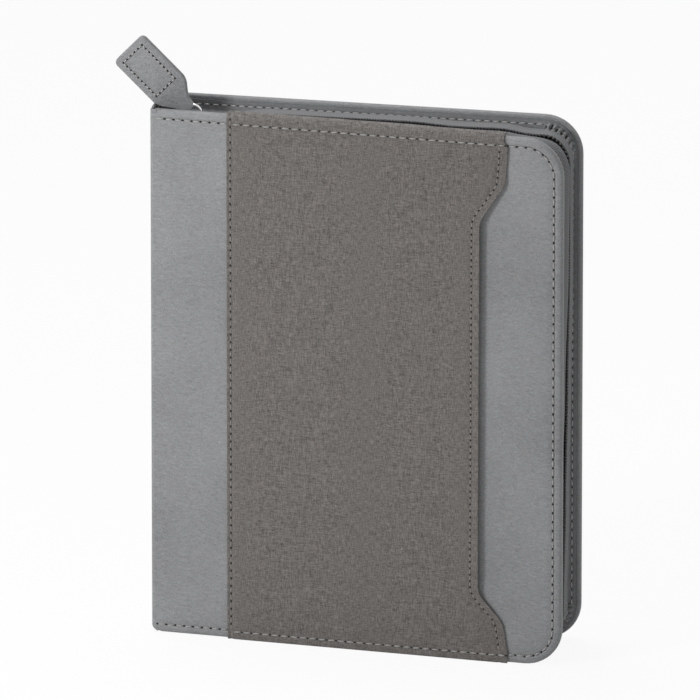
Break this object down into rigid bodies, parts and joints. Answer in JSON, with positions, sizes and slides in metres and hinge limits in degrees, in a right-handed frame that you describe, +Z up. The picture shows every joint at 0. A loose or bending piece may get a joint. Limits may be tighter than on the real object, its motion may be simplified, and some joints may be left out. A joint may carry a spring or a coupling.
{
  "type": "zippered organizer folder",
  "caption": "Stiffened two-cover organizer folder with a fabric outside pocket, closed by a three-sided zip with a leather pull, with a writing pad and card pockets inside.",
  "frame": {"origin": "middle of the spine's foot, on the surface that the folder stands on", "axes": "+Z up along the spine, +X from the spine to the fore edge, +Y from the front cover to the back cover"},
  "size_m": [0.2063, 0.0445, 0.2729],
  "materials": {
    "leather": "satin grained leatherette, mid grey",
    "cloth": "heathered warm grey weave",
    "lining": "fine woven lining, charcoal",
    "board": "grey pasteboard",
    "webbing": "twill zip tape and elastic",
    "nylon": "dark moulded nylon",
    "metal": "bright nickel",
    "paper": "uncoated writing paper"
  },
  "bodies": {
    "back_cover": {"back_skin": "leather", "back_board": "board", "back_lining": "lining", "back_gusset": "leather", "back_zip_tape": "webbing", "back_zip_teeth": "nylon", "zip_top_stop": "metal", "zip_end_stop": "metal", "pad_card": "board", "pad_sleeve": "leather", "pad_pages": "paper", "pad_binding": "cloth", "pen_loop": "webbing", "rear_fold": "leather"},
    "spine": {"spine_skin": "leather", "spine_board": "board", "spine_lining": "lining", "front_fold": "leather"},
    "front_cover": {"front_skin": "leather", "front_board": "board", "front_lining": "lining", "front_zip_tape": "webbing", "front_zip_teeth": "nylon", "cloth_pocket": "cloth", "file_pocket": "lining", "card_pocket_1": "leather", "card_pocket_2": "leather", "card_pocket_3": "leather"},
    "slider": {"slider_body": "metal", "slider_bridge": "metal"},
    "pull": {"pull_strap": "leather", "pull_filler": "leather"}
  },
  "joints": [
    {"name": "spine_fold", "type": "hinge", "parent": "back_cover", "child": "spine", "pos_m": [0, 0.014, 0.12], "axis": [0, 0, -1], "range_deg": [0, 90]},
    {"name": "cover_open", "type": "hinge", "parent": "spine", "child": "front_cover", "pos_m": [0, -0.014, 0.12], "axis": [0, 0, -1], "range_deg": [-3.8, 90]},
    {"name": "zip_slide", "type": "slide", "parent": "back_cover", "child": "slider", "axis": [1, 0, 0], "range_m": [0, 0.147]},
    {"name": "pull_swing", "type": "hinge", "parent": "slider", "child": "pull", "pos_m": [0.015, -0.005, 0.23635], "axis": [0, 1, 0], "range_deg": [0, 87]}
  ]
}
